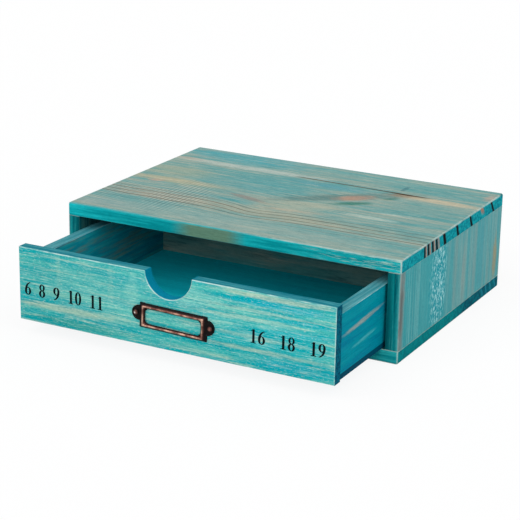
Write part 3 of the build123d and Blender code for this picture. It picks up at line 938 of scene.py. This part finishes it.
def copper_finish(name, dark_to, red_to, bright_from, bright):
    """Copper by its height above the wood, in millimetres: dark, red, bright where rubbed, and a
    painted highlight on the left pin.
    """
    metal = Finish(name)
    height = metal.y * -1 + LABEL_MIDDLE.y / MM
    fine = metal.noise((metal.x / 0.9, metal.y / 0.9, metal.z / 0.9), 4, 0.7)
    broad = metal.noise((metal.x / 5, metal.y / 5, metal.z / 5), 2, 0.5)
    rubbed = height + (fine - 0.5) * 0.8 + (broad - 0.5) * 0.8
    dark, red = tone(18, 13, 14), tone(100, 58, 50)
    metal.colour = metal.mix(rubbed.rise(dark_to, red_to), dark, red)
    metal.lay(rubbed.rise(bright_from, bright_from + 0.5) * broad.rise(0.30, 0.62), bright)
    metal.lay(fine.rise(0.62, 0.76) * 0.35, tone(150, 132, 126))
    # A painted highlight: a small near-white spot on the left pin's crown, at a fixed place.
    highlight_x, highlight_z = PAINTED_PIN_HIGHLIGHT
    metal.lay(metal.x.near(highlight_x, 0.6) * metal.z.near(highlight_z, 0.6), tone(250, 240, 236))
    rough = 0.60 - rubbed.rise(bright_from - 0.6, bright_from) * 0.22
    return metal.done(rough, fine * 0.05, metallic=0.85)


holder_copper = copper_finish("antique_copper", 1.35, 2.2, 1.9, tone(204, 164, 142))
pin_copper = copper_finish("antique_copper_pins", 1.3, 2.1, 1.75, tone(170, 120, 106))
paint(frame_plate, holder_copper)
for pin in (left_pin, right_pin):
    paint(pin, pin_copper)

# %% [markdown]
# ## Plain numbers on the front
#
# Each half of the front carries a line of black print in a book face: plain button sizes in
# millimetres. The digits need only rings and bars. A book face is thick at the sides of its
# rings and thin at their top and bottom, so a ring is one ellipse bridged to a narrower one.
# The tail of a 6 is a larger ring cut down to its upper left, and a 9 is a 6 turned half round.
# Digits are drawn once, flat and 9 mm high, and copied. The print is a twentieth of a
# millimetre thick, as a transfer is.

# %% Rings, bars and the five digits
PRINT_THICKNESS = 0.05
DIGIT_HEIGHT = 9.0
RING_POINTS = 48
# The thick and the thin strokes of the face.
STEM, HAIR = 1.65, 0.55


def ring(centre, size, sides, caps):
    """A flat ring: its size outside, and how thick it is at the sides and at the caps."""
    flat = start(bpy.ops.mesh.primitive_circle_add, "ring", vertices=RING_POINTS, radius=0.5)
    bpy.ops.transform.resize(value=(size[0], size[1], 1))
    bpy.ops.mesh.select_all(action="DESELECT")
    bpy.ops.mesh.primitive_circle_add(vertices=RING_POINTS, radius=0.5)
    bpy.ops.transform.resize(value=(size[0] - 2 * sides, size[1] - 2 * caps, 1))
    bpy.ops.mesh.select_all(action="SELECT")
    bpy.ops.mesh.bridge_edge_loops()
    bpy.ops.transform.translate(value=(*centre, 0))
    return flat


def bar(name, low, high):
    """A flat bar between two corners."""
    flat = start(bpy.ops.mesh.primitive_plane_add, name, size=1)
    bpy.ops.transform.resize(value=(high[0] - low[0], high[1] - low[1], 1))
    bpy.ops.transform.translate(value=((low[0] + high[0]) / 2, (low[1] + high[1]) / 2, 0))
    return flat


def keep(point, normal):
    """Cuts what is in edit mode along a line and keeps the side that the normal points to."""
    bpy.ops.mesh.select_all(action="SELECT")
    bpy.ops.mesh.bisect(plane_co=(*point, 0), plane_no=(*normal, 0), clear_inner=True)


def digit(name, *shapes):
    """Joins flat shapes to one digit with a thickness."""
    leave_edit_mode()
    whole = shapes[0]
    whole.name = "digit_" + name
    for shape in shapes:
        modify(shape, "SOLIDIFY", thickness=PRINT_THICKNESS, offset=0.0)
    for shape in shapes[1:]:
        modify(whole, "BOOLEAN", object=shape, operation="UNION", solver="EXACT")
        bpy.data.objects.remove(shape)
    return whole


def digit_zero():
    return digit("0", ring((2.4, 4.5), (4.9, DIGIT_HEIGHT), STEM, HAIR))


def digit_one():
    flag = bar("flag", (0.8, 7.3), (2.0, 7.8))
    pick("VERT", lambda vertex: (flag.matrix_world @ vertex.co).x > 1.5)
    bpy.ops.transform.translate(value=(0, 1.1, 0))
    stem = bar("stem", (1.65, 0.2), (1.65 + STEM, DIGIT_HEIGHT))
    foot = bar("foot", (0.6, 0.0), (4.2, HAIR))
    return digit("1", stem, foot, flag)


def digit_six():
    tail = ring((4.9, 2.9), (9.7, 12.2), STEM, HAIR)
    keep((4.5, 0), (-1, 0))
    keep((0, 2.9), (0, 1))
    bowl = ring((2.5, 2.75), (4.9, 5.5), STEM, HAIR)
    return digit("6", bowl, tail)


def digit_eight():
    top = ring((2.4, 6.7), (4.3, 4.6), STEM * 0.85, HAIR)
    bottom = ring((2.4, 2.45), (4.9, 4.9), STEM, HAIR)
    return digit("8", bottom, top)


digits = {"0": digit_zero(), "1": digit_one(), "6": digit_six(), "8": digit_eight()}
digits["9"] = copy_of(digits["6"], "digit_9")
half_turn = Matrix.Translation((4.9, DIGIT_HEIGHT, 0)) @ turned(180, "Z")
place(digits["9"], half_turn)
for name, shape in digits.items():
    print(f"digit {name}: {len(shape.data.polygons)} faces, width {shape.dimensions.x:.2f} mm")

# %% Print the two lines
# From one digit to the next, and the room in that step beside the digit itself.
DIGIT_STEP, DIGIT_ROOM = 5.6, 0.8
# Each line: its name, its numbers, where it starts (X and Z), its width, and its slope in degrees.
LINES = (
    ("numbers_left", "6 8 9 10 11", (-110.7, 27.2), 61.0, -0.4),
    ("numbers_right", "16 18 19", (57.0, 26.2), 51.5, -0.6),
)
front_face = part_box("drawer_front")[0].y


def print_line(name, numbers, corner, width, slope):
    """Copies digits along a line on the drawer's front, and joins them to one print."""
    words = numbers.split()
    gap = (width - DIGIT_STEP * len("".join(words)) + DIGIT_ROOM) / (len(words) - 1)
    spot = Vector((corner[0] * MM, front_face - PRINT_THICKNESS * 0.6 * MM, corner[1] * MM))
    line = Matrix.Translation(spot) @ turned(-slope, "Y") @ turned(90, "X") @ Matrix.Scale(MM, 4)
    along = 0.0
    printed = []
    for word in words:
        for character in word:
            shape = copy_of(digits[character], name + "_digit")
            place(shape, line @ Matrix.Translation((along, 0, 0)))
            printed.append(shape)
            along += DIGIT_STEP
        along += gap
    bpy.ops.object.select_all(action="DESELECT")
    for shape in printed:
        shape.select_set(True)
    bpy.context.view_layer.objects.active = printed[0]
    bpy.ops.object.join()
    printed[0].name = name
    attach(printed[0], "drawer")
    return printed[0]


prints = [print_line(*line) for line in LINES]
for shape in digits.values():
    bpy.data.objects.remove(shape)
print("printed:", [shape.name for shape in prints])

# %% The black print
ink = Finish("black_print")
flow = ink.noise((ink.x / 9, ink.y, ink.z / 0.7), 4, 0.65)
ink.colour = ink.mix(flow.rise(0.58, 0.76) * 0.3, tone(6, 16, 20), tone(16, 84, 90))
ink.lay(flow.rise(0.44, 0.30) * 0.5, tone(2, 6, 8))
black_print = ink.done(0.5 + flow * 0.2, flow * 0.02, specular=0.03)
for shape in prints:
    paint(shape, black_print)

# %% [markdown]
# ## Dowels and brads
#
# What holds the box together is mostly hidden: beech dowels inside the joints and steel brads in
# the thin panels. They show where a board is lifted off, so they get their own finishes too.

# %% Finish the dowels and brads
def beech_finish():
    wood = Board("bare_beech", "ZYX", 12)
    wood.brush(tone(206, 170, 128), tone(218, 186, 146), tone(228, 202, 166), 0.4, 8, 0.8)
    wood.lay(wood.specks.rise(0.60, 0.70) * 0.6, tone(150, 100, 66))
    return wood.dress(0.6, 0.03, worn=0.0)


def steel_finish():
    metal = Finish("bright_steel")
    drawn = metal.noise((metal.x / 2, metal.y / 2, metal.z / 2), 4, 0.6)
    metal.colour = metal.mix(drawn.rise(0.35, 0.65), tone(126, 130, 132), tone(196, 200, 202))
    metal.lay(drawn.rise(0.60, 0.72) * 0.5, tone(96, 84, 74))
    return metal.done(0.32 + drawn * 0.2, drawn * 0.02, metallic=0.9)


SMALL_FINISHES = {"dowels": beech_finish(), "brads": steel_finish()}
for name in nodes:
    for kind, finish in SMALL_FINISHES.items():
        if name.endswith(kind):
            paint(nodes[name], finish)
            print(name, "->", finish.name)
